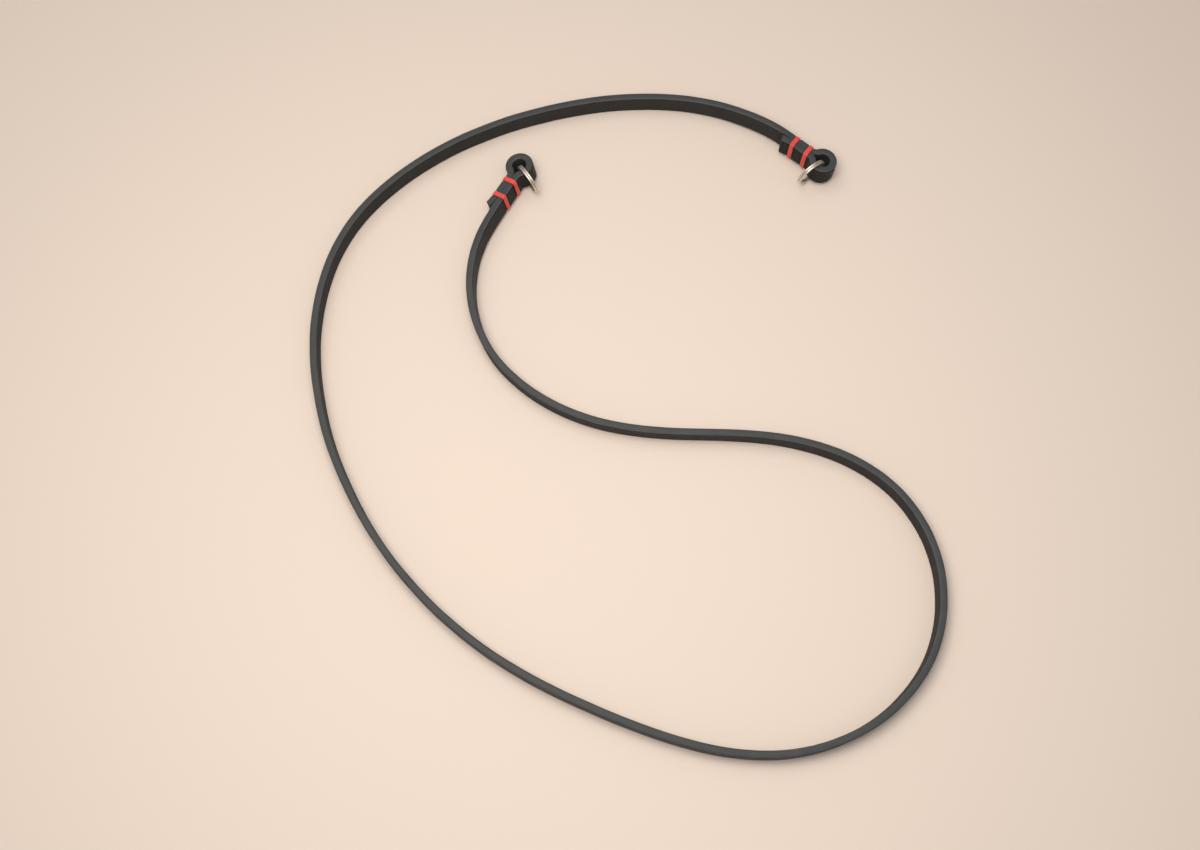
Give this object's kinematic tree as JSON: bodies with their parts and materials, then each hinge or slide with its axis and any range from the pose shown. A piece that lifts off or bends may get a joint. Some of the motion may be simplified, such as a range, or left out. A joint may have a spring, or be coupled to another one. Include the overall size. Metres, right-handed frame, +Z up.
{
  "type": "coiled leather camera strap",
  "caption": "Flat black leather strap lying on its edge in a loose coil, each end folded into a round eye, bound with red thread and holding a steel split ring.",
  "frame": {"origin": "on the table, in the middle of the coil's outline", "axes": "+Z is up from the table that the strap stands on, +X runs to the right and +Y away from the viewer as the picture shows the coil"},
  "size_m": [0.302, 0.3374, 0.0165],
  "materials": {
    "leather": "matte black vegetable-tanned strap leather with a fine grain and dyed, burnished edges",
    "thread": "red waxed thread, laid in close turns",
    "steel": "bright spring steel with a warm cast"
  },
  "bodies": {
    "root": {"strap": "leather", "whipping_right_outer": "thread", "whipping_right_eye": "thread", "whipping_left_outer": "thread", "whipping_left_eye": "thread", "split_ring_right": "steel", "split_ring_left": "steel"}
  },
  "joints": []
}
